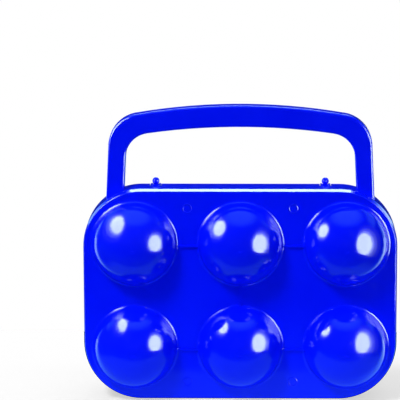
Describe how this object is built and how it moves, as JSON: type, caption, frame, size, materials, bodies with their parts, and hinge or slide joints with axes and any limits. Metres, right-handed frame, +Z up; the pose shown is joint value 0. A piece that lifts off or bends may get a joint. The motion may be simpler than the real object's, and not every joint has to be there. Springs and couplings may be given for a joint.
{
  "type": "egg carrier",
  "caption": "Hinged moulded plastic egg carrier with domed cups in both halves, stud latches and an arched handle.",
  "frame": {"origin": "middle of the footprint, on the surface the shut carrier stands on, at the parting plane", "axes": "+X along the width, -Y out of the front face, +Z up towards the handle"},
  "size_m": [0.184, 0.068, 0.174],
  "materials": {
    "shell_plastic": "gloss",
    "film_plastic": "gloss"
  },
  "bodies": {
    "rear": {"rear_half": "shell_plastic", "hinge_film": "film_plastic"},
    "front": {"front_half": "shell_plastic"}
  },
  "joints": [
    {"name": "lid_hinge", "type": "hinge", "parent": "rear", "child": "front", "pos_m": [0, 0, 0], "axis": [1, 0, 0], "range_deg": [0, 178], "deforming": ["hinge_film"]}
  ]
}
